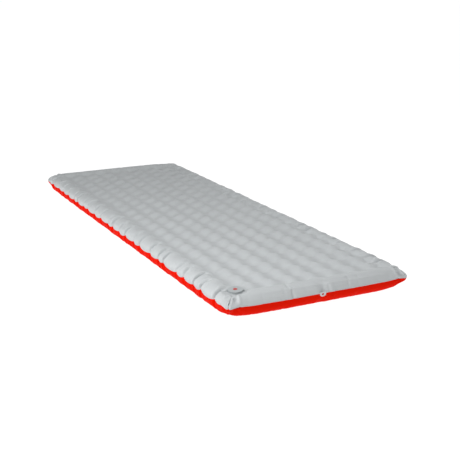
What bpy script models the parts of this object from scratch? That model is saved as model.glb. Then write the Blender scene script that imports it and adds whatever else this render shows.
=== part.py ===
"""Inflatable sleeping pad: two welded skins held apart by a zigzag truss in every row of dimples,
two heat-reflecting films slit over the trusses, a two-stage flat valve in one corner, and a hang tab.

Metres, +Z up. The pad lies flat along Y, its valve end towards -Y, and the origin is the centre of its base.
"""

import math

import bmesh
import bpy
from mathutils import Euler, Matrix, Vector

MM = 0.001

# Driving dimensions of the pad
WIDTH = 640 * MM
LENGTH = 1830 * MM
THICKNESS = 80 * MM
SEAM_HEIGHT = 50 * MM
SKIN = 0.6 * MM
GAP = 0.3 * MM  # between pieces that touch
SEAM_FLANGE = 4 * MM
PITCH_X = 71.5 * MM
PITCH_Y = 73.3 * MM
ROWS = 24
TOP_COLUMNS = 8
BOTTOM_COLUMNS = 7
TOP_DIMPLE = 18 * MM
BOTTOM_DIMPLE = 8 * MM
SEAM_CORNER = 35 * MM  # plan radius of the seam's outer edge at a corner
FIELD_CORNER = 20 * MM

# Trusses and films
TRUSS = 0.5 * MM
WELD_HALF = 9 * MM  # half the width of a truss's weld pad
WEB_NOTCH = 15 * MM  # height of the solid triangle above or below a weld pad
WELD_GAP = 0.5 * MM
FILM = 0.3 * MM
FILM_HEIGHTS = (30 * MM, 50 * MM)
FILM_MARGIN = 38 * MM  # from the seam's outer edge to the film's
FILM_CORNER = 40 * MM
SLIT_HALF = 0.8 * MM
SLIT_SPARE = 8 * MM  # slit beyond the truss's end

# Valve, in its own frame: z 0 is the top of the skin, local +X lies along the pad's near end
VALVE_AT = Vector((-258 * MM, -843 * MM, 72 * MM))
VALVE_YAW = math.radians(-26.7)
VALVE_TILT = math.radians(5)
VALVE_LEANS = Vector((-0.6, -0.8, 0))  # the way the valve's face leans, down the corner
SKIN_HOLE = 19.3 * MM
BORE = 16.7 * MM
PORT = 13.1 * MM
CAP_RADIUS = 22.6 * MM
CAP_UNDERSIDE = 4.6 * MM
CAP_TOP = 6.2 * MM
PLUG_RIM = (2.0 * MM, 3.2 * MM)
PLUG_FOOT = -9 * MM
SPOKE_TOP = -7.3 * MM
PLUG_AXIS = Vector((-24.9 * MM, 0, 2.6 * MM))
CAP_AXIS = Vector((24.9 * MM, 0, 5.4 * MM))

# Hang tab
TAB_WIDTH = 22 * MM
TAB_DROP = 14 * MM
TAB_THICK = 1 * MM
TAB_HOLE = 3.5 * MM
TAB_HOLE_DROP = 7 * MM
TAB_AXIS = Vector((0, -LENGTH / 2 - 1.3 * MM, SEAM_HEIGHT + 1.5 * MM))

COLOURS = {  # linear colour, roughness, metallic
    "top_skin": ((0.50, 0.53, 0.54), 0.5, 0),
    "bottom_skin": ((0.78, 0.035, 0.012), 0.5, 0),
    "truss_fabric": ((0.72, 0.72, 0.70), 0.6, 0),
    "reflective_film": ((0.78, 0.79, 0.80), 0.2, 0.9),
    "valve_grey": ((0.40, 0.43, 0.44), 0.4, 0),
    "valve_soft": ((0.55, 0.57, 0.57), 0.55, 0),
    "silicone": ((0.08, 0.08, 0.08), 0.6, 0),
    "button_red": ((0.65, 0.04, 0.02), 0.4, 0),
    "tab_fabric": ((0.62, 0.65, 0.66), 0.55, 0),
}


def clear_scene():
    for obj in list(bpy.data.objects):
        bpy.data.objects.remove(obj)


def collection(name):
    made = bpy.data.collections.new(name)
    bpy.context.scene.collection.children.link(made)
    return made


def material(name):
    found = bpy.data.materials.get(name)
    if found:
        return found
    colour, roughness, metallic = COLOURS[name]
    made = bpy.data.materials.new(name)
    made.use_nodes = True
    shader = made.node_tree.nodes["Principled BSDF"]
    shader.inputs["Base Color"].default_value = (*colour, 1)
    shader.inputs["Roughness"].default_value = roughness
    shader.inputs["Metallic"].default_value = metallic
    return made


def place(name, data, slot, into, parent=None, at=(0, 0, 0)):
    """A named object of this mesh or curve, with its material, at a point in its parent's frame."""
    obj = bpy.data.objects.new(name, data)
    into.objects.link(obj)
    obj.parent = parent
    obj.location = at
    if slot and not data.materials:
        data.materials.append(material(slot))
    return obj


def empty(name, into, parent=None, at=(0, 0, 0)):
    obj = bpy.data.objects.new(name, None)
    obj.empty_display_size = 10 * MM
    into.objects.link(obj)
    obj.parent = parent
    obj.location = at
    return obj


def helper(name, bm, into, parent, at=(0, 0, 0)):
    """A hidden mesh for a Boolean."""
    mesh = bpy.data.meshes.new(name)
    bm.to_mesh(mesh)
    bm.free()
    obj = place(name, mesh, None, into, parent, at)
    obj.hide_render = True
    obj.display_type = "WIRE"
    return obj


def cylinder(radius, height, segments=32):
    bm = bmesh.new()
    bmesh.ops.create_cone(
        bm, cap_ends=True, segments=segments, radius1=radius, radius2=radius, depth=height
    )
    return bm


def box(size):
    bm = bmesh.new()
    bmesh.ops.create_cube(bm, size=1)
    bmesh.ops.scale(bm, vec=size, verts=bm.verts)
    return bm


def boolean(obj, other, operation):
    modifier = obj.modifiers.new(operation.lower(), "BOOLEAN")
    modifier.operation = operation
    modifier.object = other
    modifier.solver = "EXACT"


def turned(name, profile, slot, into, parent, at=(0, 0, 0), segments=32):
    """A ring or disc turned round Z from (radius, height) points, down the outside and up the inside."""
    mesh = bpy.data.meshes.new(name)
    count = len(profile)
    edges = [(i, i + 1) for i in range(count - 1)]
    if profile[0][0] > 0:
        edges.append((count - 1, 0))
    mesh.from_pydata([(r, 0, z) for r, z in profile], edges, [])
    obj = place(name, mesh, slot, into, parent, at)
    screw = obj.modifiers.new("turn", "SCREW")
    screw.steps = segments
    screw.render_steps = segments
    screw.use_merge_vertices = True
    screw.merge_threshold = 0.01 * MM
    return obj


def outline_curve(name, outlines, thickness):
    """Flat outlines, the first filled and the rest cut out of it, extruded to a thickness."""
    curve = bpy.data.curves.new(name, "CURVE")
    curve.dimensions = "2D"
    curve.fill_mode = "BOTH"
    curve.extrude = thickness / 2
    for points in outlines:
        spline = curve.splines.new("POLY")
        spline.points.add(len(points) - 1)
        spline.use_cyclic_u = True
        for point, (x, y) in zip(spline.points, points):
            point.co = (x, y, 0, 1)
    return curve


def arc(centre, radius, start, end, steps):
    return [
        (
            centre[0] + radius * math.cos(math.radians(start + (end - start) * i / steps)),
            centre[1] + radius * math.sin(math.radians(start + (end - start) * i / steps)),
        )
        for i in range(steps + 1)
    ]


def rounded_rectangle(half_x, half_y, radius, steps=4):
    points = []
    for sx, sy, start in ((1, 1, 0), (-1, 1, 90), (-1, -1, 180), (1, -1, 270)):
        centre = (sx * (half_x - radius), sy * (half_y - radius))
        points += arc(centre, radius, start, start + 90, steps)
    return points


def ellipse_height(inset, reach):
    """Share of a wall's full height at this distance inside the seam, on a quarter ellipse."""
    return math.sqrt(max(0.0, 1 - (1 - inset / reach) ** 2))


def dots(count, pitch):
    """Centres of a row of weld dots, spaced evenly about 0."""
    return [(i - (count - 1) / 2) * pitch for i in range(count)]


def cell_lines(centres, pitch, edge):
    """Lines between weld dots, with the outermost ones at the edge of the dimpled field."""
    inner = [c + pitch / 2 for c in centres[:-1]]
    return [-edge, *inner, edge]


def skin(name, facing, columns, edges, rings, field_z, dimple_z, slot, into):
    """One skin as an open surface: a field of dimples, walls in rings out to the seam's flange, then Solidify.

    edges are the field's half sizes. Each ring is its distance out along X and along Y, its height, and the
    radius of its corners.
    """
    x_dots = dots(columns, PITCH_X)
    y_dots = dots(ROWS, PITCH_Y)
    x_lines = cell_lines(x_dots, PITCH_X, edges[0])
    y_lines = cell_lines(y_dots, PITCH_Y, edges[1])
    around = len(rings)
    nx = len(x_lines) - 1 + 2 * around
    ny = len(y_lines) - 1 + 2 * around
    outs = [(0, 0, field_z, FIELD_CORNER), *rings]

    bm = bmesh.new()
    bmesh.ops.create_grid(bm, x_segments=nx, y_segments=ny, size=1)
    for vert in bm.verts:
        i = round((vert.co.x + 1) / 2 * nx) - around
        j = round((vert.co.y + 1) / 2 * ny) - around
        vert.co = field_point(i, j, x_lines, y_lines, outs)
    cells = [
        face
        for face in bm.faces
        if abs(face.calc_center_median().x) < edges[0]
        and abs(face.calc_center_median().y) < edges[1]
    ]
    poked = bmesh.ops.poke(bm, faces=cells)
    for vert in poked["verts"]:
        vert.co.x = min(x_dots, key=lambda x: abs(x - vert.co.x))
        vert.co.y = min(y_dots, key=lambda y: abs(y - vert.co.y))
        vert.co.z = dimple_z
    if facing < 0:
        bmesh.ops.reverse_faces(bm, faces=bm.faces)
    mesh = bpy.data.meshes.new(name)
    bm.to_mesh(mesh)
    bm.free()
    return place(name, mesh, slot, into)


def field_point(i, j, x_lines, y_lines, outs):
    """Where grid line i across and j along meet: in the field, on a straight wall, or on a corner's arc."""
    last_x = len(x_lines) - 1
    last_y = len(y_lines) - 1
    level_x = max(-i, i - last_x, 0)
    level_y = max(-j, j - last_y, 0)
    level = max(level_x, level_y)
    x = x_lines[min(max(i, 0), last_x)]
    y = y_lines[min(max(j, 0), last_y)]
    out_x, out_y, z, radius = outs[level]
    at_side = i <= 0 or i >= last_x
    at_end = j <= 0 or j >= last_y
    if level_x or (at_side and at_end):
        x += math.copysign(out_x, x)
    if level_y or (at_side and at_end):
        y += math.copysign(out_y, y)
    if at_side and at_end:
        if level == 0:
            angle = 45
        elif level_x >= level_y:
            angle = 45 * level_y / level_x
        else:
            angle = 90 - 45 * level_x / level_y
        x -= math.copysign(radius * (1 - math.cos(math.radians(angle))), x)
        y -= math.copysign(radius * (1 - math.sin(math.radians(angle))), y)
    return Vector((x, y, z))


def solidify(obj):
    modifier = obj.modifiers.new("skin", "SOLIDIFY")
    modifier.thickness = SKIN
    modifier.offset = -1


def seam_rings(reach, z):
    """The flange's inner and outer edge."""
    outer = (reach[0] + SEAM_FLANGE, reach[1] + SEAM_FLANGE)
    return [(*reach, z, SEAM_CORNER - SEAM_FLANGE), (*outer, z, SEAM_CORNER)]


def wall_reach(edges):
    """Distance from the field's edge to the flange's inner edge, along X and along Y."""
    return WIDTH / 2 - SEAM_FLANGE - edges[0], LENGTH / 2 - SEAM_FLANGE - edges[1]


def top_skin(into, cutters, valve):
    """The grey upper skin, with the hole that the valve's seat clamps."""
    edges = (4 * PITCH_X, 12 * PITCH_Y)
    reach = wall_reach(edges)
    ellipse = 60 * MM
    rise = THICKNESS - SEAM_HEIGHT
    flange_z = SEAM_HEIGHT + GAP / 2 + SKIN
    crest_z = SEAM_HEIGHT + rise * ellipse_height(reach[0], ellipse)
    wall_inset = 10 * MM
    wall_z = SEAM_HEIGHT + rise * ellipse_height(wall_inset, ellipse)
    rings = [
        (reach[0] - wall_inset, reach[1] - wall_inset, wall_z, SEAM_CORNER - 2 * SEAM_FLANGE),
        *seam_rings(reach, flange_z),
    ]
    obj = skin("top_sheet", 1, TOP_COLUMNS, edges, rings, crest_z,
               THICKNESS - TOP_DIMPLE, "top_skin", into)
    for vert in obj.data.vertices:
        raise_crowns(vert, edges, crest_z)
        lay_on_valve_plane(vert, valve)
    solidify(obj)
    hole = helper("valve_hole", cylinder(SKIN_HOLE, 6 * MM), cutters, valve)
    boolean(obj, hole, "DIFFERENCE")
    return obj


def raise_crowns(vert, edges, crest_z):
    """The crowns inside the field stand at the pad's full thickness, above the crest of the edge tube."""
    inside = abs(vert.co.x) < edges[0] - MM and abs(vert.co.y) < edges[1] - MM
    if inside and abs(vert.co.z - crest_z) < 0.1 * MM:
        vert.co.z = THICKNESS


def lay_on_valve_plane(vert, valve):
    """Points of the valve's own cell lie on the plane that the valve is clamped to."""
    cell = 60 * MM
    flat = Vector((vert.co.x - VALVE_AT.x, vert.co.y - VALVE_AT.y))
    on_field = abs(vert.co.x) < 4 * PITCH_X + MM and abs(vert.co.y) < 12 * PITCH_Y + MM
    if flat.length < cell and on_field:
        normal = valve.matrix_world.to_3x3() @ Vector((0, 0, 1))
        vert.co.z = VALVE_AT.z - (normal.x * flat.x + normal.y * flat.y) / normal.z


def bottom_skin(into):
    """The red lower skin, which rests on the floor on a flat band round its dimpled field."""
    edges = (3.3 * PITCH_X, 11.8 * PITCH_Y)
    reach = wall_reach(edges)
    band = (20 * MM, 8 * MM)
    wall = (reach[0] - band[0], reach[1] - band[1])
    flange_z = SEAM_HEIGHT - GAP / 2 - SKIN
    rings = [(*band, 0, FIELD_CORNER)]
    for share in (0.42, 0.8):
        height = SEAM_HEIGHT * (1 - ellipse_height(1 - share, 1))
        radius = FIELD_CORNER + share * (SEAM_CORNER - SEAM_FLANGE - FIELD_CORNER)
        rings.append((band[0] + share * wall[0], band[1] + share * wall[1], height, radius))
    rings += seam_rings(reach, flange_z)
    obj = skin("bottom_sheet", -1, BOTTOM_COLUMNS, edges, rings, 0, BOTTOM_DIMPLE,
               "bottom_skin", into)
    solidify(obj)
    return obj


def truss_outline(first):
    """A die-cut zigzag: weld pads under the top dimples and over the bottom ones, joined by slanting webs.

    The outline starts at the top pad with this number, so that the valve can take the place of pad 0.
    """
    z_top = THICKNESS - TOP_DIMPLE - SKIN - WELD_GAP
    z_bottom = BOTTOM_DIMPLE + SKIN + WELD_GAP
    tops = dots(TOP_COLUMNS, PITCH_X)[first:]
    bottoms = dots(BOTTOM_COLUMNS, PITCH_X)
    points = []
    for i, x in enumerate(tops):
        points += [(x - WELD_HALF, z_top), (x + WELD_HALF, z_top)]
        if i + 1 < len(tops):
            points.append((x + PITCH_X / 2, z_bottom + WEB_NOTCH))
    for i, x in enumerate(reversed(bottoms)):
        points += [(x + WELD_HALF, z_bottom), (x - WELD_HALF, z_bottom)]
        if i + 1 < len(bottoms):
            points.append((x - PITCH_X / 2, z_top - WEB_NOTCH))
    return points


def trusses(into):
    upright = Euler((math.pi / 2, 0, 0))
    full = outline_curve("truss", [truss_outline(0)], TRUSS)
    short = outline_curve("truss_at_valve", [truss_outline(1)], TRUSS)
    for number, y in enumerate(dots(ROWS, PITCH_Y), start=1):
        data = short if number == 1 else full
        obj = place(f"truss_{number:02d}", data, "truss_fabric", into, at=(0, y, 0))
        obj.rotation_euler = upright


def films(into):
    """Two metallised films, each slit where a truss passes through it."""
    half_x = WIDTH / 2 - FILM_MARGIN
    half_y = LENGTH / 2 - FILM_MARGIN
    slit_x = dots(TOP_COLUMNS, PITCH_X)[-1] + WELD_HALF + SLIT_SPARE
    outlines = [rounded_rectangle(half_x, half_y, FILM_CORNER)]
    for y in dots(ROWS, PITCH_Y):
        outlines.append(
            [(-slit_x, y - SLIT_HALF), (slit_x, y - SLIT_HALF),
             (slit_x, y + SLIT_HALF), (-slit_x, y + SLIT_HALF)]
        )
    curve = outline_curve("film", outlines, FILM)
    for name, z in zip(("film_lower", "film_upper"), FILM_HEIGHTS):
        place(name, curve, "reflective_film", into, at=(0, 0, z))


def valve_frame(into):
    """The valve's own frame: on the top skin, turned to face the near end and leaning down the corner."""
    obj = empty("valve_frame", into, at=VALVE_AT)
    lean_axis = Vector((0, 0, 1)).cross(VALVE_LEANS).normalized()
    turn = Matrix.Rotation(VALVE_TILT, 3, lean_axis) @ Matrix.Rotation(VALVE_YAW, 3, "Z")
    obj.rotation_euler = turn.to_euler()
    bpy.context.view_layer.update()
    return obj


def valve_flange(into, frame):
    """Soft weld ring under the skin."""
    top = -SKIN - GAP
    low = top - 1.2 * MM
    outer = 25 * MM
    turned("valve_flange", [(outer, top), (outer, low), (SKIN_HOLE, low), (SKIN_HOLE, top)],
           "valve_soft", into, frame)


def valve_seat(into, frame):
    """Snap-in seat: its two lips clamp the skin and the flange, and its flared bore takes the plug."""
    lip = 24.1 * MM
    lower_lip = 21.7 * MM
    neck = SKIN_HOLE - 0.5 * MM
    foot = -9.5 * MM
    under = -2.5 * MM
    profile = [
        (BORE + 0.8 * MM, 1.7 * MM), (lip - 0.6 * MM, 1.7 * MM), (lip, 1.1 * MM), (lip, GAP),
        (neck, GAP), (neck, under), (lower_lip, under), (lower_lip, -4 * MM), (neck, -4 * MM),
        (neck, foot), (BORE, foot), (BORE, -1 * MM),
    ]
    turned("valve_seat", profile, "valve_grey", into, frame)


def tether_anchor(into, frame):
    """The plug's tether where it is welded to the skin, beyond its hinge."""
    near = PLUG_AXIS.x - 0.6 * MM
    far = -31.6 * MM
    points = [(near, -4.5 * MM), (near, 4.5 * MM), (far + 3 * MM, 4.5 * MM)]
    points += arc((far + 3 * MM, 0), 3 * MM, 110, 250, 4)
    points += [(far + 3 * MM, -4.5 * MM)]
    curve = outline_curve("tether_anchor", [points], 0.8 * MM)
    place("tether_anchor", curve, "valve_soft", into, frame, (0, 0, 0.7 * MM))


def valve_plug(into, cutters, pivot):
    """Deflation plug: rim, tapered skirt with a seal groove, and the spokes and hub that carry the check valve."""
    at = -PLUG_AXIS
    low, high = PLUG_RIM
    rim = CAP_RADIUS
    groove = BORE - 2.2 * MM
    profile = [
        (PORT, high), (rim - 0.4 * MM, high), (rim, high - 0.4 * MM), (rim, low),
        (BORE - 0.7 * MM, low), (BORE - 1.1 * MM, -1.7 * MM), (groove, -1.7 * MM), (groove, -3.7 * MM),
        (BORE - 1.4 * MM, -3.7 * MM), (BORE - 2.3 * MM, PLUG_FOOT), (PORT - 0.2 * MM, PLUG_FOOT),
    ]
    obj = turned("valve_plug", profile, "valve_grey", into, pivot, at)
    depth = SPOKE_TOP - PLUG_FOOT
    middle = (SPOKE_TOP + PLUG_FOOT) / 2 + 0.1 * MM
    span = 2 * PORT + 0.8 * MM
    spokes = {"spoke_x": (span, 3 * MM, depth), "spoke_y": (3.2 * MM, span, depth * 0.9)}
    for name, size in spokes.items():
        boolean(obj, helper(name, box(size), cutters, pivot, at + Vector((0, 0, middle))), "UNION")
    hub = helper("hub", cylinder(4.2 * MM, depth * 1.1, 24), cutters, pivot,
                 at + Vector((0, 0, middle)))
    boolean(obj, hub, "UNION")
    lugs = {  # size, and its centre's X and Z
        "plug_ear": ((4 * MM, 8 * MM, 1 * MM), PLUG_AXIS.x + 2 * MM, PLUG_AXIS.z),
        "cap_lug": ((6 * MM, 8 * MM, 1 * MM), rim + 1.5 * MM, PLUG_AXIS.z),
        "cap_lug_post": ((1.6 * MM, 7.4 * MM, 2.2 * MM), rim + 3.5 * MM, 3.5 * MM),
    }
    for name, (size, x, z) in lugs.items():
        boolean(obj, helper(name, box(size), cutters, pivot, at + Vector((x, 0, z))), "UNION")
    bore = helper("stem_bore", cylinder(1.6 * MM, 4 * depth, 16), cutters, pivot,
                  at + Vector((0, 0, middle)))
    boolean(obj, bore, "DIFFERENCE")
    return obj


def seal_ring(name, ring, thick, z, into, parent, at):
    """An O-ring as a turned octagon."""
    profile = [
        (ring + thick * math.cos(a), z + thick * math.sin(a))
        for a in (math.radians(90 - 45 * i) for i in range(8))
    ]
    turned(name, profile, "silicone", into, parent, at)


def release_stem(into, frame):
    """Press button, shaft and foot in one piece, through the plug's hub."""
    profile = [
        (0, -2.6 * MM), (2.8 * MM, -2.6 * MM), (3.4 * MM, -3.1 * MM), (3.4 * MM, -3.8 * MM),
        (1.2 * MM, -3.8 * MM), (1.2 * MM, -10.4 * MM), (2.8 * MM, -10.4 * MM),
        (2.4 * MM, -11.6 * MM), (0, -11.6 * MM),
    ]
    turned("release_stem", profile, "button_red", into, frame, segments=20)


def check_diaphragm(into, frame):
    """Silicone disc that closes the plug's foot from below."""
    top = PLUG_FOOT - GAP
    low = top - 0.8 * MM
    outer = BORE - 2.7 * MM
    turned("check_diaphragm",
           [(outer, top), (outer, low), (1.5 * MM, low), (1.5 * MM, top)],
           "silicone", into, frame)


def valve_cap(into, cutters, pivot):
    """Flat cap with a rounded rim, a hinge ear and a short grip on the far side."""
    at = -CAP_AXIS
    profile = [
        (0, CAP_TOP), (CAP_RADIUS - 1 * MM, CAP_TOP), (CAP_RADIUS, CAP_TOP - 0.7 * MM),
        (CAP_RADIUS, CAP_UNDERSIDE), (0, CAP_UNDERSIDE),
    ]
    obj = turned("valve_cap", profile, "valve_grey", into, pivot, at)
    middle = (CAP_UNDERSIDE + CAP_TOP) / 2 - 0.1 * MM
    tabs = {"cap_ear": (CAP_RADIUS, 8 * MM), "cap_grip": (-CAP_RADIUS - 1 * MM, 6.4 * MM)}
    for name, (x, width) in tabs.items():
        size = (4 * MM, width, 1.1 * MM)
        boolean(obj, helper(name, box(size), cutters, pivot, at + Vector((x, 0, middle))), "UNION")
    return obj


def cap_seal(into, pivot):
    """Flat gasket between the cap and the plug's rim."""
    top = CAP_UNDERSIDE - GAP
    low = PLUG_RIM[1] + GAP
    inner = PORT + 1.2 * MM
    outer = inner + 4 * MM
    turned("cap_seal", [(outer, top), (outer, low), (inner, low), (inner, top)],
           "silicone", into, pivot, -CAP_AXIS)


def valve(into, cutters, frame):
    """Fixed seat on the skin; a plug that swings out for deflation; on it a cap and a sprung check valve."""
    valve_flange(into, frame)
    valve_seat(into, frame)
    tether_anchor(into, frame)
    plug_pivot = empty("plug_pivot", into, frame, PLUG_AXIS)
    valve_plug(into, cutters, plug_pivot)
    seal_ring("plug_seal", BORE - 1.25 * MM, 0.7 * MM, -2.7 * MM, into, plug_pivot, -PLUG_AXIS)
    release_stem(into, frame)
    check_diaphragm(into, frame)
    cap_pivot = empty("cap_pivot", into, plug_pivot, CAP_AXIS - PLUG_AXIS)
    valve_cap(into, cutters, cap_pivot)
    cap_seal(into, cap_pivot)


def hang_tab(into):
    """Fabric tab with a round hole, hanging from the seam of the valve end."""
    pivot = empty("tab_pivot", into, at=TAB_AXIS)
    half = TAB_WIDTH / 2
    radius = 8 * MM
    points = [(half, 0), (-half, 0)]
    points += arc((-half + radius, -TAB_DROP + radius), radius, 180, 270, 4)
    points += arc((half - radius, -TAB_DROP + radius), radius, 270, 360, 4)
    hole = arc((0, -TAB_HOLE_DROP), TAB_HOLE, 0, 337.5, 15)
    curve = outline_curve("hang_tab", [points, hole], TAB_THICK)
    obj = place("hang_tab", curve, "tab_fabric", into, pivot)
    obj.rotation_euler = Euler((math.pi / 2, 0, 0))


def smooth_turned_pieces(into):
    for obj in into.objects:
        if obj.type == "MESH" and obj.modifiers.get("turn"):
            obj.data.shade_smooth()
            obj.modifiers["turn"].use_smooth_shade = True


def main():
    clear_scene()
    pad = collection("inflatable_sleeping_pad")
    cutters = collection("cutters")
    frame = valve_frame(pad)
    top_skin(pad, cutters, frame)
    bottom_skin(pad)
    trusses(pad)
    films(pad)
    valve(pad, cutters, frame)
    hang_tab(pad)
    smooth_turned_pieces(pad)


main()
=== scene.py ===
"""The sleeping pad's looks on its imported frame: two inflated skins, valve finishes, light, camera."""

import math

import bpy
import numpy as np
from mathutils import Matrix, Vector


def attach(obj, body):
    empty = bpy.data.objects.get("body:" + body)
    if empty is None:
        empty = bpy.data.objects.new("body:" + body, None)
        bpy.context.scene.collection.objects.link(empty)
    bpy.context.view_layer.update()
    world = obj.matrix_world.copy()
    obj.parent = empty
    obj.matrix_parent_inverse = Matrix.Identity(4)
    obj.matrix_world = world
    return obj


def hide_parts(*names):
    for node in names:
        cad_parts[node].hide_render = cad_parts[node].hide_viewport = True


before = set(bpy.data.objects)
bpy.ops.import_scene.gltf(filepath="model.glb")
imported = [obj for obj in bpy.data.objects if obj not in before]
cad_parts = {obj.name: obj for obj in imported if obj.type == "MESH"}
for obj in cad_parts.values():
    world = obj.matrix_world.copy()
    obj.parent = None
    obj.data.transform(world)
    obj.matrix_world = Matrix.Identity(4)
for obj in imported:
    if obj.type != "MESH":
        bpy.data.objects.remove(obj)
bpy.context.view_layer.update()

MM = 0.001

# The pad, as the CAD has it
WIDTH = 640 * MM
LENGTH = 1830 * MM
THICKNESS = 80 * MM
SEAM_HEIGHT = 50 * MM
PITCH = (71.5 * MM, 73.3 * MM)
HALF_CELLS = (4, 12)  # from the middle to the crest of the edge tube
VALVE_AT = Vector((-258 * MM, -843 * MM, 72 * MM))
VALVE_HOLE = 19.6 * MM
VALVE_FLAT = 27 * MM  # radius of the flat skin under the valve's lip
VALVE_RISE = 22 * MM  # width of the ring where the skin rises round it
VALVE_TILT = 5  # degrees, towards the near-left corner
VALVE_TURN = -26.7
CAP_TOP = 6.2 * MM

# The field of dimples
FIELD_SHIFT = (14 * MM, -12 * MM)  # the welded field sits a little off the middle
TOP_DIMPLE = 18 * MM
BOTTOM_DIMPLE = 8 * MM
SADDLE = 0.4  # depth midway between two dimples, as a share of theirs
DIMPLE_REST = 0.2  # what is left of a dimple's depth beyond two saddles
WARP = 2.5 * MM  # how far the dimples wander from their lattice
BASE_HALF = (262 * MM, 868 * MM)  # half size of the dimpled part of the underside
BASE_FADE = (30 * MM, 20 * MM)

# The walls, from the crest down to the seam and from the seam down to the floor
SEAM_CORNER = 12 * MM
TOP_REACH = WIDTH / 2 - HALF_CELLS[0] * PITCH[0]
BOTTOM_REACH = 58 * MM
TOP_SQUARENESS = 2.3  # power of a wall's curve: 2 makes an ellipse, and more is squarer
BOTTOM_SQUARENESS = 1.9
TOP_DROOP = 90 * MM  # how far from a corner the skin droops towards the tip
BOTTOM_DROOP = 65 * MM
CORNER_DROOP = 0.85  # share of the inset that is lost at the tip
WALL_BULGE = 9 * MM

# The notches that draw the seam up and in
CORNER_PILLOW = 20 * MM  # from a corner to the first notch of each side
CORNER_BAND = 42 * MM  # beside the corner notches, the smooth ends are notched too
CORNER_BAND_FADE = 20 * MM
CORNER_STRENGTH = 0.6
END_STRENGTH = 0.08
NOTCH_RISE = 10 * MM
NOTCH_PULL = 6 * MM
ARCH_SHARPNESS = 0.4

# The folds that run up from the notches, and the small puckers between them
TOP_FOLD = 10 * MM
BOTTOM_FOLD = 7 * MM
NOTCH_FOLD_WIDTH = 4.0 * MM
CORNER_FOLD_DEPTH = 1.6
PUCKER_WIDTH = 2.2 * MM
END_FOLDS = 0.02  # depth on the smooth ends, as a share of that on the sides
END_PUCKERS = 0.03
TAB_PUCKER_AT = 4 * MM  # along the near end, where the tab pulls the skins in
TAB_PUCKER_WIDTH = 12 * MM
CREST_STEP = 50 * MM  # inside the crest, a fold's climb grows by 1 over this distance
FAR_OFF = 9  # the climb where there is no fold of this side
RIPPLE = 1.2 * MM  # height of the ripples along the smooth ends

# The grid that both skins are made on
PER_PITCH = 12
WALL_LEVELS = 12

# Colours, each from its lightest to its darkest clouding
TOP_COLOURS = ((0.515, 0.536, 0.545), (0.485, 0.506, 0.515))
BOTTOM_COLOURS = ((0.78, 0.010, 0.001), (0.70, 0.008, 0.001))

# The light
HORIZON = 0.38
ZENITH = 0.055
KEY_POWER = 26
LEFT_POWER = 59
RIGHT_POWER = 39
FRONT_POWER = 5
BACK_POWER = 6
FLOOR_GLOW = 1.0
FLOOR_HALF = 60  # metres
FLOOR_GREY = 0.12

# The camera
AZIMUTH = -27.1
ELEVATION = 16.09
ROLL = 0.26
DISTANCE = 3.341
TARGET = Vector((71.6 * MM, -163.6 * MM, 40 * MM))
LENS = 69.7
SENSOR = 36

# The cloth simulation
SIM_FRAMES = 10
SIM_QUALITY = 4
SIM_MASS = 0.01
SIM_PRESSURE = 40
SIM_CAP = 16 * MM
FIELD_SLACK = 0.005
WALL_SLACK = 0.04
END_LOOSENESS = 0.25  # share of the wall's slack that the smooth ends have
HELD_CELLS = 0.45  # the field is held from this many cells inside the crest
HELD_BASE = 9 * MM  # and the underside below this height

rng = np.random.default_rng(7)


def random_waves(count):
    """Slow waves that make no two dimples quite alike: turns per metre along X and Y, and a phase."""
    return rng.uniform((-45, -45, 0), (45, 45, 6.28), (count, 3))


WARP_X = random_waves(4)
WARP_Y = random_waves(4)
SWELL = random_waves(3)


def smooth(x):
    """A soft step from 0 at 0 to 1 at 1."""
    x = np.clip(x, 0, 1)
    return x * x * (3 - 2 * x)


class Grid:
    """Where each vertex of a skin lies: in the field, on a wall, or round a corner.

    level runs from 0 at the crest to 1 at the seam, side is the half of the pad, out is the way that the
    wall faces, and angle is how far that is turned from the sides (0 degrees) to the ends (90 degrees).
    """

    def __init__(self, per_pitch, levels):
        nx, ny = (2 * half * per_pitch for half in HALF_CELLS)
        i = np.arange(-levels, nx + levels + 1)
        j = np.arange(-levels, ny + levels + 1)
        i, j = np.meshgrid(i, j, indexing="ij")
        level_x = np.maximum(np.maximum(-i, i - nx), 0)
        level_y = np.maximum(np.maximum(-j, j - ny), 0)
        self.level = np.maximum(level_x, level_y) / levels
        self.field_x = (np.clip(i, 0, nx) / per_pitch - HALF_CELLS[0]) * PITCH[0]
        self.field_y = (np.clip(j, 0, ny) / per_pitch - HALF_CELLS[1]) * PITCH[1]
        self.side_x = np.sign(self.field_x)
        self.side_y = np.sign(self.field_y)
        corner = ((i <= 0) | (i >= nx)) & ((j <= 0) | (j >= ny))
        self.corner = corner
        low = np.minimum(level_x, level_y)
        high = np.maximum(np.maximum(level_x, level_y), 1)
        share = np.where(self.level > 0, low / high, 1)
        angle = np.where(level_x >= level_y, 45 * share, 90 - 45 * share)
        self.angle = np.radians(np.where(corner, angle, np.where(level_x > 0, 0, 90)))
        wall = self.level > 0
        self.out_x = np.where(wall, self.side_x * np.cos(self.angle), 0)
        self.out_y = np.where(wall, self.side_y * np.sin(self.angle), 0)
        self.on_side = (level_x > 0) & ~corner
        self.on_end = (level_y > 0) & ~corner

    def place(self, inset, radius):
        """x and y of every vertex on a ring this far inside the seam's edge, with this corner radius."""
        half_x = WIDTH / 2 - inset
        half_y = LENGTH / 2 - inset
        wall = self.level > 0
        x = np.where(wall & (self.on_side | self.corner), self.side_x * half_x, self.field_x)
        y = np.where(wall & (self.on_end | self.corner), self.side_y * half_y, self.field_y)
        cut = self.corner & wall
        x = x - np.where(cut, self.side_x * radius * (1 - np.cos(self.angle)), 0)
        y = y - np.where(cut, self.side_y * radius * (1 - np.sin(self.angle)), 0)
        return x, y


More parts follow.
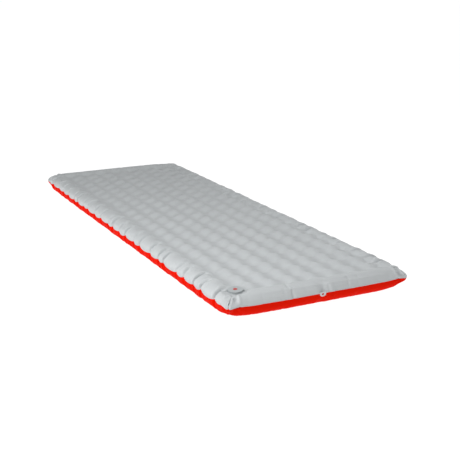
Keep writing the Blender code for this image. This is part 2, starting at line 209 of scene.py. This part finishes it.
def pits(x, y, offset):
    """Depth of the field at a point, from 0 on the crowns to 1 in the dimples, with saddles between."""
    across = np.sin(np.pi * x / PITCH[0] + offset) ** 2
    along = np.sin(np.pi * y / PITCH[1]) ** 2
    return SADDLE * (across + along) + DIMPLE_REST * across * along


def drift(x, y, waves):
    """A slow random swell over the pad, between about -1 and 1."""
    total = np.zeros_like(x)
    for turn_x, turn_y, phase in waves:
        total += np.sin(turn_x * x + turn_y * y + phase)
    return total / len(waves)


def top_height(x, y):
    """Height of the grey field: its dimples fade in a half-cell border, wholly so only at the ends."""
    inner_x = 1 - 0.6 * smooth((np.abs(x) / PITCH[0] - (HALF_CELLS[0] - 0.5)) * 2)
    inner_y = 1 - smooth((np.abs(y) / PITCH[1] - (HALF_CELLS[1] - 0.5)) * 2)
    x = x - FIELD_SHIFT[0] + WARP * drift(x, y, WARP_X)
    y = y - FIELD_SHIFT[1] + WARP * drift(x, y, WARP_Y)
    depth = TOP_DIMPLE * (0.96 + 0.04 * drift(x, y, SWELL))
    return THICKNESS - depth * pits(x, y, 0) * inner_x * inner_y


def bottom_height(x, y):
    """Height of the red field, whose dimples lie half a pitch across from the CAD's upper ones."""
    fade_x = smooth((BASE_HALF[0] - np.abs(x)) / BASE_FADE[0])
    fade_y = smooth((BASE_HALF[1] - np.abs(y)) / BASE_FADE[1])
    fade = fade_x * fade_y
    return BOTTOM_DIMPLE * pits(x, y, np.pi / 2) * fade


def slack_inset(x, y, droop):
    """Distance inside the seam, counted short near the corners, where the skins droop to the tip."""
    from_side = WIDTH / 2 - np.abs(x)
    from_end = LENGTH / 2 - np.abs(y)
    straight = np.minimum(from_side, from_end)
    into_x = np.maximum(SEAM_CORNER - from_side, 0)
    into_y = np.maximum(SEAM_CORNER - from_end, 0)
    rounded = SEAM_CORNER - np.hypot(into_x, into_y)
    inside = (into_x > 0) & (into_y > 0)
    inset = np.maximum(np.where(inside, rounded, straight), 0)
    near = np.exp(-((from_side ** 2 + from_end ** 2) / droop ** 2))
    return inset * (1 - CORNER_DROOP * near)


def dome(inset, reach, power):
    """A wall's share of its full height at this distance inside the seam: 0 at the seam, 1 from reach on."""
    away = np.clip(1 - inset / reach, 0, 1)
    return (1 - away ** power) ** (1 / power)


def spaced(first, last, pitch, jitter):
    """Unevenly spaced places from first to last."""
    count = max(1, round((last - first) / pitch))
    places = np.linspace(first, last, count + 1)
    places[1:-1] += rng.uniform(-jitter, jitter, count - 1) * pitch
    return places


def between_notches(position, notches, depths):
    """Arches from notch to notch: 0 at each notch and up to the bay's depth between."""
    bay = np.clip(np.searchsorted(notches, position) - 1, 0, len(notches) - 2)
    share = (position - notches[bay]) / (notches[bay + 1] - notches[bay])
    share = np.clip(share, 0, 1)
    return depths[bay] * (4 * share * (1 - share)) ** ARCH_SHARPNESS


class Edge:
    """One edge of the pad: its notches, where the seam is drawn in, and the folds that run up from them.

    axis is 0 for the two long sides and 1 for the two ends. Places are counted along the edge from its
    middle, and last is the place of the notch beside a corner.
    """

    def __init__(self, axis, side):
        self.axis = axis
        self.side = side
        last = (LENGTH / 2, WIDTH / 2)[axis] - SEAM_CORNER - CORNER_PILLOW
        self.last = last
        if axis == 0:
            self.notches = spaced(-last, last, 0.95 * PITCH[1], 0.32)
            self.arches = rng.uniform(0.8, 1.0, len(self.notches))
            self.strength = 1.0
        else:
            inner = last - CORNER_BAND
            middle = spaced(-inner, inner, 0.55 * PITCH[0], 0.2)
            self.notches = np.concatenate([[-last], middle, [last]])
            self.arches = rng.uniform(0.5, 1.0, len(self.notches))
            self.strength = END_STRENGTH
        self.folds = list(self.plan_folds())

    def plan_folds(self):
        """(place, depth, lean, reach, width) of each fold.

        depth is a share of the skin's deepest fold, lean is how far the fold drifts as it climbs, and
        reach is the climb at which it has run out.
        """
        folds, puckers = (1.0, 1.0) if self.axis == 0 else (END_FOLDS, END_PUCKERS)
        last_notch = len(self.notches) - 1
        for number, place in enumerate(self.notches):
            beside_corner = number in (0, last_notch)
            depth = CORNER_FOLD_DEPTH if beside_corner else folds * rng.uniform(0.7, 1.6)
            lean = rng.uniform(-3, 8) * MM
            reach = rng.uniform(1.2, 1.7)
            yield self.on_line(place), depth, lean, reach, NOTCH_FOLD_WIDTH
        for place in spaced(-self.last, self.last, 0.5 * PITCH[1 - self.axis], 0.4):
            depth = rng.uniform(0.1, 0.6) * puckers
            lean = rng.uniform(-4, 10) * MM
            reach = rng.uniform(0.5, 1.2)
            yield self.on_line(place), depth, lean, reach, PUCKER_WIDTH
        if self.axis == 1 and self.side < 0:
            yield TAB_PUCKER_AT, 0.5, 0, 0.95, TAB_PUCKER_WIDTH

    def on_line(self, place):
        """The nearest line of the fine grid, so that a narrow fold keeps its full depth."""
        step = PITCH[1 - self.axis] / (2 * PER_PITCH)
        return round(place / step) * step

    def on_wall(self, grid):
        """Which vertices are on this edge's wall, between its corners."""
        walls = (grid.on_side, grid.on_end)[self.axis]
        return walls & ((grid.side_x, grid.side_y)[self.axis] == self.side)

    def climb(self, grid):
        """0 at the seam, 1 at the crest and more inside the field; FAR_OFF on all the other walls."""
        inside = HALF_CELLS[self.axis] * PITCH[self.axis]
        inside = inside - self.side * (grid.field_x, grid.field_y)[self.axis]
        climb = np.where(self.on_wall(grid), 1 - grid.level, 1 + inside / CREST_STEP)
        return np.where(self.on_wall(grid) | (grid.level <= 0), climb, FAR_OFF)


EDGES = [Edge(axis, side) for axis in (0, 1) for side in (-1, 1)]


def seam_arches(grid):
    """(arch, strength) at every wall vertex.

    arch is 0 at the notches where the seam is drawn up and in, and 1 midway between them; strength is how
    strongly that part of the edge is notched.
    """
    arch = np.ones_like(grid.level)
    strength = np.zeros_like(grid.level)
    x, y = grid.place(0, SEAM_CORNER)
    for edge in EDGES:
        here = edge.on_wall(grid)
        position = (y, x)[edge.axis]
        arch = np.where(here, between_notches(position, edge.notches, edge.arches), arch)
        beyond = np.abs(position) - edge.last
        arch = np.where(here & (beyond > 0), np.sqrt(smooth(beyond / CORNER_PILLOW)), arch)
        near_corner = smooth((beyond + CORNER_BAND) / CORNER_BAND_FADE)
        strength = np.where(here, np.maximum(edge.strength, CORNER_STRENGTH * near_corner), strength)
    in_corner = (grid.level > 0) & grid.corner
    middle = np.exp(-(((np.degrees(grid.angle) - 45) / 14) ** 2))
    arch = np.where(in_corner, 1 - 0.4 * middle, arch)
    strength = np.where(in_corner, CORNER_STRENGTH, strength)
    return arch, strength


def normals(points):
    """Unit normals of a grid of points, facing out of the top skin."""
    along_x = np.gradient(points, axis=0)
    along_y = np.gradient(points, axis=1)
    normal = np.cross(along_x, along_y)
    return normal / np.maximum(np.linalg.norm(normal, axis=-1, keepdims=True), 1e-12)


def fold_shape(away, width):
    """A narrow valley between two low shoulders."""
    valley = np.exp(-((away / width) ** 2))
    shoulders = np.exp(-(((np.abs(away) - 2.4 * width) / (1.2 * width)) ** 2))
    return valley - 0.2 * shoulders


def fold_depths(grid, points, deepest, share):
    """How deep every vertex lies in the folds; share scales how far up each of them reaches."""
    total = np.zeros_like(grid.level)
    for edge in EDGES:
        climb = edge.climb(grid)
        position = points[..., 1 - edge.axis]
        near = climb < 2  # no fold reaches further than one step inside the crest
        for place, depth, lean, reach, width in edge.folds:
            away = position - place - lean * climb ** 1.6
            near_fold = near & (np.abs(away) < 6 * width)
            up = climb[near_fold]
            rise = smooth(up / 0.07) * (1 - smooth((up - share * (reach - 0.5)) / (share * 0.5)))
            spread = width * (0.8 + 0.6 * up)
            total[near_fold] += depth * rise * fold_shape(away[near_fold], spread)
    in_corner = (grid.level > 0) & grid.corner
    degrees = np.degrees(grid.angle[in_corner])
    up = 1 - grid.level[in_corner]
    corner_fold = np.exp(-(((degrees - 45) / 11) ** 2))
    total[in_corner] += 0.6 * corner_fold * smooth((up - 0.25) / 0.25) * (1 - smooth((up - 0.7) / 0.3))
    return deepest * np.clip(total, -0.5, CORNER_FOLD_DEPTH)


def crease(points, grid, facing, deepest, share):
    """Press the folds into a skin along its own normals; facing is 1 for the top and -1 for the bottom."""
    return points - facing * normals(points) * fold_depths(grid, points, deepest, share)[..., None]


def ripple_ends(points, grid):
    """Two or three shallow ripples that run along the smooth tube of each end."""
    for edge in EDGES:
        if edge.axis == 1:
            climb = edge.climb(grid)
            near = smooth((climb - 0.3) / 0.3) * (1 - smooth((climb - 1.0) / 0.5))
            across = 1 - smooth((np.abs(points[..., 0]) - 0.16) / 0.1)
            wave = RIPPLE * np.sin(2 * np.pi * (climb * 2.2 + 1.2 * points[..., 0]))
            points = points + normals(points) * (near * across * wave)[..., None]
    return points


def seam_line(arch, strength):
    """(height, push out) of the seam at each vertex's column."""
    height = SEAM_HEIGHT - 1 * MM + strength * (0.85 - arch) * NOTCH_RISE
    push = -strength * (1 - arch) * NOTCH_PULL
    return height, push


def top_surface(grid, arch, strength):
    """Grey skin: the dimpled field, then the wall down to the seam."""
    t = grid.level
    outward = np.sin(t * math.pi / 2) ** 0.85
    x, y = grid.place(TOP_REACH * (1 - outward), SEAM_CORNER * outward)
    seam_z, seam_push = seam_line(arch, strength)
    seam_z = np.where(t > 0, seam_z, SEAM_HEIGHT)
    share = dome(slack_inset(x, y, TOP_DROOP), TOP_REACH, TOP_SQUARENESS)
    field = top_height(grid.field_x, grid.field_y)
    field = np.where(t > 0, THICKNESS + (field - THICKNESS) * (1 - smooth(t * 1.2)), field)
    base = SEAM_HEIGHT + (seam_z - SEAM_HEIGHT) * smooth(t)
    z = base + (field - base) * share
    bulge = strength * (arch - 0.35) * np.sin(np.pi * t ** 1.5) * WALL_BULGE
    push = bulge + seam_push * t ** 2
    x = x + grid.out_x * push
    y = y + grid.out_y * push
    return np.stack([x, y, z], axis=-1)


def bottom_surface(grid, arch, strength):
    """Red skin: from the seam down and in to the floor, then the field of the underside."""
    t = grid.level
    outward = np.sin(t * math.pi / 2)
    x, y = grid.place(BOTTOM_REACH * (1 - outward), SEAM_CORNER * outward)
    scale_x = (WIDTH / 2 - BOTTOM_REACH) / (HALF_CELLS[0] * PITCH[0])
    scale_y = (LENGTH / 2 - BOTTOM_REACH) / (HALF_CELLS[1] * PITCH[1])
    x = np.where(grid.on_side | (grid.corner & (t > 0)), x, x * (scale_x + (1 - scale_x) * t))
    y = np.where(grid.on_end | (grid.corner & (t > 0)), y, y * (scale_y + (1 - scale_y) * t))
    seam_z, seam_push = seam_line(arch, strength)
    share = dome(slack_inset(x, y, BOTTOM_DROOP), BOTTOM_REACH, BOTTOM_SQUARENESS)
    field = bottom_height(x, y)
    z = np.where(t > 0, seam_z * (1 - share), field + SEAM_HEIGHT * (1 - share))
    push = seam_push * t ** 3
    x = x + grid.out_x * push
    y = y + grid.out_y * push
    return np.stack([x, y, z], axis=-1)


def join_skins(shape, seam):
    """Faces of both skins as one bladder: the top's vertices come first, and the bottom uses its seam."""
    count = shape[0] * shape[1]
    top_index = np.arange(count).reshape(shape)
    bottom_index = np.where(seam, top_index, top_index + count)

    def quads(index):
        corners = [index[:-1, :-1], index[1:, :-1], index[1:, 1:], index[:-1, 1:]]
        return np.stack(corners, axis=-1).reshape(-1, 4)

    return np.concatenate([quads(top_index), quads(bottom_index)[:, ::-1]])


def weigh_vertices(bladder, held, loose):
    """Vertex groups: "held" for what stays in place, "slack" for how much spare cloth there is."""
    pins = bladder.vertex_groups.new(name="held")
    slack = bladder.vertex_groups.new(name="slack")
    for vertex in np.nonzero(held)[0]:
        pins.add([int(vertex)], 1.0, "REPLACE")
    loose = np.round(loose, 3)
    for value in np.unique(loose):
        members = np.nonzero(loose == value)[0]
        slack.add([int(vertex) for vertex in members], float(value), "REPLACE")


def add_cloth(bladder):
    cloth = bladder.modifiers.new("air", "CLOTH")
    settings = cloth.settings
    settings.quality = SIM_QUALITY
    settings.mass = SIM_MASS
    settings.air_damping = 1
    settings.tension_stiffness = 30
    settings.compression_stiffness = 15
    settings.shear_stiffness = 8
    settings.bending_stiffness = 0.3
    settings.tension_damping = 5
    settings.compression_damping = 5
    settings.shear_damping = 5
    settings.bending_damping = 0.5
    settings.use_pressure = True
    settings.uniform_pressure_force = SIM_PRESSURE
    settings.effector_weights.gravity = 0
    settings.vertex_group_mass = "held"
    settings.vertex_group_shrink = "slack"
    settings.shrink_min = -FIELD_SLACK
    settings.shrink_max = -WALL_SLACK
    cloth.collision_settings.use_collision = False
    cloth.collision_settings.use_self_collision = False
    cloth.point_cache.frame_start = 1
    cloth.point_cache.frame_end = SIM_FRAMES


def run_cloth(bladder):
    """Steps the simulation to its end and returns where the vertices are then."""
    for number in range(1, SIM_FRAMES + 1):
        bpy.context.scene.frame_set(number)
    inflated = bladder.evaluated_get(bpy.context.evaluated_depsgraph_get())
    made = inflated.to_mesh()
    moved = np.empty(len(made.vertices) * 3)
    made.vertices.foreach_get("co", moved)
    inflated.to_mesh_clear()
    return moved.reshape(-1, 3)


def inflate(top, bottom, grid, held):
    """Both skins, joined at the seam, as cloth under air pressure. Returns their new points."""
    seam = grid.level >= 1
    points = np.concatenate([top.reshape(-1, 3), bottom.reshape(-1, 3)])
    used, faces = np.unique(join_skins(seam.shape, seam), return_inverse=True)
    mesh = bpy.data.meshes.new("bladder")
    mesh.from_pydata(points[used].tolist(), [], faces.reshape(-1, 4).tolist())
    bladder = bpy.data.objects.new("bladder", mesh)
    bpy.context.scene.collection.objects.link(bladder)

    loose = smooth(grid.level * 3) * np.where(grid.on_end, END_LOOSENESS, 1)
    held = np.concatenate([held[0].ravel(), held[1].ravel()])
    weigh_vertices(bladder, held[used], np.concatenate([loose.ravel()] * 2)[used])
    add_cloth(bladder)
    shift = run_cloth(bladder) - points[used]
    bpy.data.objects.remove(bladder)
    bpy.context.scene.frame_set(1)

    length = np.linalg.norm(shift, axis=1, keepdims=True)
    points[used] += shift * np.minimum(1, SIM_CAP / np.maximum(length, 1e-9))
    count = seam.size
    new_top = points[:count].reshape(top.shape)
    new_bottom = points[count:].reshape(bottom.shape)
    new_bottom[seam] = new_top[seam]
    new_bottom[..., 2] = np.maximum(new_bottom[..., 2], 0)
    return new_top, new_bottom


def double(points):
    """The same surface on a grid twice as fine, by cubic midpoints."""
    for axis in (0, 1):
        points = np.moveaxis(points, axis, 0)
        first = 2 * points[:1] - points[1:2]
        last = 2 * points[-1:] - points[-2:-1]
        padded = np.concatenate([first, points, last])
        middle = (9 * (padded[1:-2] + padded[2:-1]) - padded[:-3] - padded[3:]) / 16
        finer = np.empty((2 * len(points) - 1, *points.shape[1:]))
        finer[0::2] = points
        finer[1::2] = middle
        points = np.moveaxis(finer, 0, axis)
    return points


def grid_mesh(name, points, facing, keep=None):
    """A mesh object on a grid of points; keep chooses its faces by their centres."""
    nx, ny = points.shape[:2]
    index = np.arange(nx * ny).reshape(nx, ny)
    quads = np.stack([index[:-1, :-1], index[1:, :-1], index[1:, 1:], index[:-1, 1:]], axis=-1)
    quads = quads.reshape(-1, 4)
    if facing < 0:
        quads = quads[:, ::-1]
    flat = points.reshape(-1, 3)
    if keep is not None:
        quads = quads[keep(flat[quads].mean(axis=1))]
    used, quads = np.unique(quads, return_inverse=True)
    quads = quads.reshape(-1, 4)
    mesh = bpy.data.meshes.new(name)
    mesh.from_pydata(flat[used].tolist(), [], quads.tolist())
    mesh.shade_smooth()
    obj = bpy.data.objects.new(name, mesh)
    bpy.context.scene.collection.objects.link(obj)
    return obj


def thicken(obj):
    modifier = obj.modifiers.new("fabric", "SOLIDIFY")
    modifier.thickness = 0.5 * MM
    modifier.offset = -1


def valve_basis():
    """Matrix of the valve's frame, as the CAD has it: its centre and the way it faces."""
    lean = Vector((-0.6, -0.8, 0))
    axis = Vector((0, 0, 1)).cross(lean).normalized()
    tilt = Matrix.Rotation(math.radians(VALVE_TILT), 4, axis)
    turn = tilt @ Matrix.Rotation(math.radians(VALVE_TURN), 4, "Z")
    return Matrix.Translation(VALVE_AT) @ turn


def seat_valve(points, basis):
    """The top skin lies flat under the valve's lip and rises again round it."""
    normal = basis.to_3x3() @ Vector((0, 0, 1))
    away = np.hypot(points[..., 0] - VALVE_AT.x, points[..., 1] - VALVE_AT.y)
    plane = VALVE_AT.z - 0.3 * MM - (
        normal.x * (points[..., 0] - VALVE_AT.x) + normal.y * (points[..., 1] - VALVE_AT.y)
    ) / normal.z
    weight = 1 - smooth((away - VALVE_FLAT) / VALVE_RISE)
    high = points[..., 2] > SEAM_HEIGHT + 8 * MM
    points[..., 2] = np.where(high, points[..., 2] * (1 - weight) + plane * weight, points[..., 2])
    return points


def new_material(name, rough):
    """(material, its nodes, its link call, its shader, its object coordinates)"""
    made = bpy.data.materials.new(name)
    made.use_nodes = True
    nodes = made.node_tree.nodes
    shader = nodes["Principled BSDF"]
    shader.inputs["Roughness"].default_value = rough
    place = nodes.new("ShaderNodeTexCoord").outputs["Object"]
    return made, nodes, made.node_tree.links.new, shader, place


def noise(nodes, link, place, scale, detail):
    made = nodes.new("ShaderNodeTexNoise")
    made.inputs["Scale"].default_value = scale
    made.inputs["Detail"].default_value = detail
    link(place, made.inputs["Vector"])
    return made.outputs["Fac"]


def cloud(nodes, link, shader, factor, light_tone, dark_tone):
    """Let the base colour drift between two tones."""
    mix = nodes.new("ShaderNodeMix")
    mix.data_type = "RGBA"
    mix.inputs["A"].default_value = (*dark_tone, 1)
    mix.inputs["B"].default_value = (*light_tone, 1)
    link(factor, mix.inputs["Factor"])
    link(mix.outputs["Result"], shader.inputs["Base Color"])


def bump(nodes, link, height, strength, distance):
    made = nodes.new("ShaderNodeBump")
    made.inputs["Strength"].default_value = strength
    made.inputs["Distance"].default_value = distance
    link(height, made.inputs["Height"])
    return made


def ripstop_grid(nodes, link, place):
    """Thin raised threads that cross every few centimetres."""
    cross = nodes.new("ShaderNodeMath")
    cross.operation = "MAXIMUM"
    for direction, socket in zip("XY", cross.inputs):
        wave = nodes.new("ShaderNodeTexWave")
        wave.wave_type = "BANDS"
        wave.bands_direction = direction
        wave.wave_profile = "SIN"
        wave.inputs["Scale"].default_value = 10
        link(place, wave.inputs["Vector"])
        sharp = nodes.new("ShaderNodeMath")
        sharp.operation = "POWER"
        sharp.inputs[1].default_value = 14
        link(wave.outputs["Fac"], sharp.inputs[0])
        link(sharp.outputs[0], socket)
    return cross.outputs[0]


def fabric(name, tones, rough, specular):
    """Coated ripstop: a faintly clouded colour, with threads and crumples in the bump."""
    made, nodes, link, shader, place = new_material(name, rough)
    shader.inputs["Specular IOR Level"].default_value = specular
    cloud(nodes, link, shader, noise(nodes, link, place, 9, 4), *tones)
    threads = bump(nodes, link, ripstop_grid(nodes, link, place), 0.12, 0.2 * MM)
    crumples = bump(nodes, link, noise(nodes, link, place, 38, 3), 0.25, 1.5 * MM)
    link(threads.outputs["Normal"], crumples.inputs["Normal"])
    link(crumples.outputs["Normal"], shader.inputs["Normal"])
    return made


def plain(name, colour, rough, metallic=0.0, grain=250, depth=0.1):
    """Moulded or coated surface with a little grain and colour drift."""
    made, nodes, link, shader, place = new_material(name, rough)
    shader.inputs["Metallic"].default_value = metallic
    speckle = noise(nodes, link, place, grain, 2)
    cloud(nodes, link, shader, speckle, colour, [0.88 * channel for channel in colour])
    link(bump(nodes, link, speckle, depth, 0.3 * MM).outputs["Normal"], shader.inputs["Normal"])
    return made


def dress(node, material):
    """Gives a CAD node this material alone."""
    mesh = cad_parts[node].data
    mesh.materials.clear()
    mesh.materials.append(material)


def held_points(grid, top, bottom):
    """Where the cloth is held: all over the welded field and the base, and round the valve."""
    inside_x = HALF_CELLS[0] - np.abs(grid.field_x) / PITCH[0]
    inside_y = HALF_CELLS[1] - np.abs(grid.field_y) / PITCH[1]
    field = (np.minimum(inside_x, inside_y) > HELD_CELLS) & (grid.level <= 0)
    valve = np.hypot(top[..., 0] - VALVE_AT.x, top[..., 1] - VALVE_AT.y) < VALVE_FLAT
    base = bottom[..., 2] < HELD_BASE
    return field | (valve & (top[..., 2] > SEAM_HEIGHT + 10 * MM)), base


def build_skins():
    """The grey and the red skin: shaped on a grid, inflated, then creased on a grid twice as fine."""
    grid = Grid(PER_PITCH, WALL_LEVELS)
    arches = seam_arches(grid)
    top = top_surface(grid, *arches)
    basis = valve_basis()
    top = seat_valve(top, basis)
    bottom = bottom_surface(grid, *arches)
    edge = grid.level >= 1
    bottom[edge] = top[edge]
    top, bottom = inflate(top, bottom, grid, held_points(grid, top, bottom))
    fine = Grid(2 * PER_PITCH, 2 * WALL_LEVELS)
    top = crease(ripple_ends(double(top), fine), fine, 1, TOP_FOLD, 1.0)
    top = seat_valve(top, basis)
    bottom = crease(double(bottom), fine, -1, BOTTOM_FOLD, 0.7)
    bottom[..., 2] = np.maximum(bottom[..., 2], 0)

    def outside_valve(centres):
        away = np.hypot(centres[:, 0] - VALVE_AT.x, centres[:, 1] - VALVE_AT.y)
        return away > VALVE_HOLE

    grey = grid_mesh("top_shell", top, 1, outside_valve)
    red = grid_mesh("bottom_shell", bottom, -1)
    thicken(grey)
    thicken(red)
    grey.data.materials.append(fabric("top_ripstop", TOP_COLOURS, 0.6, 0.12))
    red.data.materials.append(fabric("bottom_nylon", BOTTOM_COLOURS, 0.55, 0.01))
    for obj, node, slot in ((grey, "top_sheet", "top_skin"), (red, "bottom_sheet", "bottom_skin")):
        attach(obj, "pad")
        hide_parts(node)


def cap_mark():
    """The generic round mark on the cap: a low red button face with a rounded rim and a dished middle."""
    # radius and height of each ring in millimetres, from the middle out
    outline = [(0, 0.45), (2.2, 0.42), (4.2, 0.5), (5.6, 0.62), (6.3, 0.5), (6.6, 0.25), (6.6, -0.05)]
    steps = 48
    points = [(0, 0, outline[0][1])]
    for radius, height in outline[1:]:
        for step in range(steps):
            turn = 2 * math.pi * step / steps
            points.append((radius * math.cos(turn), radius * math.sin(turn), height))
    faces = [(0, 1 + step, 1 + (step + 1) % steps) for step in range(steps)]
    for ring in range(len(outline) - 2):
        first = 1 + ring * steps
        for step in range(steps):
            after = (step + 1) % steps
            faces.append((first + step, first + steps + step, first + steps + after, first + after))
    last = 1 + (len(outline) - 2) * steps
    faces.append([last + step for step in reversed(range(steps))])
    mesh = bpy.data.meshes.new("cap_mark")
    mesh.from_pydata([[MM * value for value in point] for point in points], [], faces)
    mesh.shade_smooth()
    mesh.transform(valve_basis() @ Matrix.Translation((0, 0, CAP_TOP)))
    mark = bpy.data.objects.new("cap_mark", mesh)
    bpy.context.scene.collection.objects.link(mark)
    mesh.materials.append(plain("mark_red", (0.50, 0.06, 0.05), 0.5))
    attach(mark, "cap")


def finish_nodes():
    """Materials for the CAD nodes that are kept: the valve, the tab and what the pad holds inside."""
    truss = plain("truss_nonwoven", (0.72, 0.72, 0.70), 0.7, grain=900, depth=0.4)
    film = plain("film_metallised", (0.80, 0.81, 0.82), 0.25, metallic=0.9, grain=60, depth=0.5)
    grey = plain("valve_plastic", (0.42, 0.45, 0.46), 0.45)
    soft = plain("valve_soft_ring", (0.50, 0.53, 0.53), 0.55)
    silicone = plain("seal_silicone", (0.03, 0.03, 0.03), 0.55)
    red = plain("button_plastic", (0.65, 0.04, 0.02), 0.4)
    tab = plain("tab_webbing", (0.62, 0.65, 0.66), 0.55, grain=700, depth=0.3)
    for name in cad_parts:
        if name.startswith("truss"):
            dress(name, truss)
        elif name.startswith("film"):
            dress(name, film)
    for name in ("valve_seat", "valve_plug", "valve_cap"):
        dress(name, grey)
    for name in ("valve_flange", "tether_anchor"):
        dress(name, soft)
    for name in ("plug_seal", "check_diaphragm", "cap_seal"):
        dress(name, silicone)
    dress("release_stem", red)
    dress("hang_tab", tab)


def light(name, location, target, size, power):
    """A soft box that faces its target."""
    data = bpy.data.lights.new(name, "AREA")
    data.shape = "RECTANGLE"
    data.size, data.size_y = size
    data.energy = power
    obj = bpy.data.objects.new(name, data)
    obj.location = location
    obj.rotation_euler = (Vector(target) - Vector(location)).to_track_quat("-Z", "Y").to_euler()
    bpy.context.scene.collection.objects.link(obj)


def build_stage():
    """A sky that is brightest low down, five soft boxes, and a plain white floor."""
    world = bpy.data.worlds.new("studio")
    world.use_nodes = True
    nodes = world.node_tree.nodes
    link = world.node_tree.links.new
    where = nodes.new("ShaderNodeTexCoord")
    parts = nodes.new("ShaderNodeSeparateXYZ")
    link(where.outputs["Generated"], parts.inputs["Vector"])
    ramp = nodes.new("ShaderNodeValToRGB")
    for element, position, grey in zip(ramp.color_ramp.elements, (0.3, 0.45), (HORIZON, ZENITH)):
        element.position = position
        element.color = (grey, grey, grey, 1)
    link(parts.outputs["Z"], ramp.inputs["Fac"])
    link(ramp.outputs["Color"], nodes["Background"].inputs["Color"])
    nodes["Background"].inputs["Strength"].default_value = 1
    bpy.context.scene.world = world
    light("key", (-0.7, -1.2, 1.8), (-0.05, -0.6, 0), (1.2, 1.2), KEY_POWER)
    light("left", (-3.0, -0.3, 1.3), (0, -0.1, 0), (3.0, 2.0), LEFT_POWER)
    light("right", (2.8, 0.2, 1.3), (0, 0, 0), (2.0, 1.5), RIGHT_POWER)
    light("front", (-0.8, -3.4, 1.6), (0, -0.3, 0), (2.0, 1.5), FRONT_POWER)
    light("back", (0.8, 2.6, 1.3), (0, 0.2, 0), (2.0, 1.0), BACK_POWER)

    mesh = bpy.data.meshes.new("floor")
    half = FLOOR_HALF
    mesh.from_pydata([(-half, -half, 0), (half, -half, 0), (half, half, 0), (-half, half, 0)],
                     [], [(0, 1, 2, 3)])
    floor = bpy.data.objects.new("floor", mesh)
    bpy.context.scene.collection.objects.link(floor)
    material = bpy.data.materials.new("floor_white")
    material.use_nodes = True
    shader = material.node_tree.nodes["Principled BSDF"]
    shader.inputs["Base Color"].default_value = (FLOOR_GREY, FLOOR_GREY, FLOOR_GREY, 1)
    shader.inputs["Roughness"].default_value = 1.0
    shader.inputs["Specular IOR Level"].default_value = 0.0
    shader.inputs["Emission Color"].default_value = (1, 1, 1, 1)
    shader.inputs["Emission Strength"].default_value = FLOOR_GLOW
    mesh.materials.append(material)
    bpy.context.scene.view_settings.view_transform = "Standard"


def build_camera():
    """A long lens low over the near-left corner, rolled by a quarter of a degree."""
    azimuth = math.radians(AZIMUTH)
    elevation = math.radians(ELEVATION)
    back = Vector((math.sin(azimuth) * math.cos(elevation),
                   -math.cos(azimuth) * math.cos(elevation),
                   math.sin(elevation)))
    data = bpy.data.cameras.new("camera")
    data.sensor_width = SENSOR
    data.lens = LENS
    camera = bpy.data.objects.new("camera", data)
    camera.rotation_euler = (
        back.to_track_quat("Z", "Y").to_matrix() @ Matrix.Rotation(math.radians(ROLL), 3, "Z")
    ).to_euler()
    camera.location = TARGET + back * DISTANCE
    bpy.context.scene.collection.objects.link(camera)
    bpy.context.scene.camera = camera


build_skins()
cap_mark()
finish_nodes()
build_stage()
build_camera()

bpy.context.view_layer.update()
